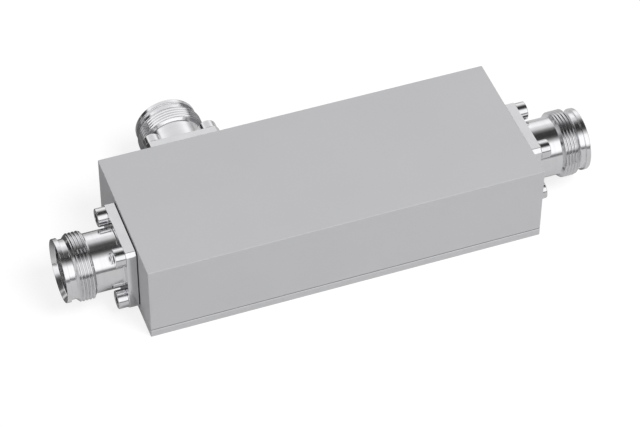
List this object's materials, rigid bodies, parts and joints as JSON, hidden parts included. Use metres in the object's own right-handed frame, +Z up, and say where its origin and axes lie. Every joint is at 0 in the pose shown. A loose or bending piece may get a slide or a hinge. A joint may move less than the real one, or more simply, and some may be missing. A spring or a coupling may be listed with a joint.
{
  "type": "directional coupler",
  "caption": "Coaxial directional coupler: a flat rectangular housing with threaded flange connectors on both ends and on the rear side.",
  "frame": {"origin": "middle of the underside of the housing's bottom cover", "axes": "+X from the input connector to the output connector, +Y to the side with the coupled connector, +Z up"},
  "size_m": [0.161, 0.0685, 0.0262],
  "materials": {
    "housing_paint": "matt pale grey powder coat",
    "connector_plating": "bright white bronze plating with fine turning lines",
    "screw_steel": "bright stainless steel",
    "contact_plating": "silvered spring bronze, slightly warm",
    "line_silver": "silver plated brass, satin",
    "white_insulator": "white fluoropolymer",
    "gasket_rubber": "dark conductive silicone",
    "load_ceramic": "glazed ceramic on a plated flange"
  },
  "bodies": {
    "root": {"housing": "housing_paint", "bottom_cover": "housing_paint", "cover_screws": "screw_steel", "main_line": "line_silver", "coupled_line": "line_silver", "load_resistor": "load_ceramic", "load_screws": "screw_steel", "input_side_support": "white_insulator", "load_side_support": "white_insulator", "input_connector_body": "connector_plating", "input_flange_gasket": "gasket_rubber", "input_flange_screws": "screw_steel", "input_insulator": "white_insulator", "input_centre_contact": "contact_plating", "output_connector_body": "connector_plating", "output_flange_gasket": "gasket_rubber", "output_flange_screws": "screw_steel", "output_insulator": "white_insulator", "output_centre_contact": "contact_plating", "coupled_connector_body": "connector_plating", "coupled_flange_gasket": "gasket_rubber", "coupled_flange_screws": "screw_steel", "coupled_insulator": "white_insulator", "coupled_centre_contact": "contact_plating"}
  },
  "joints": []
}
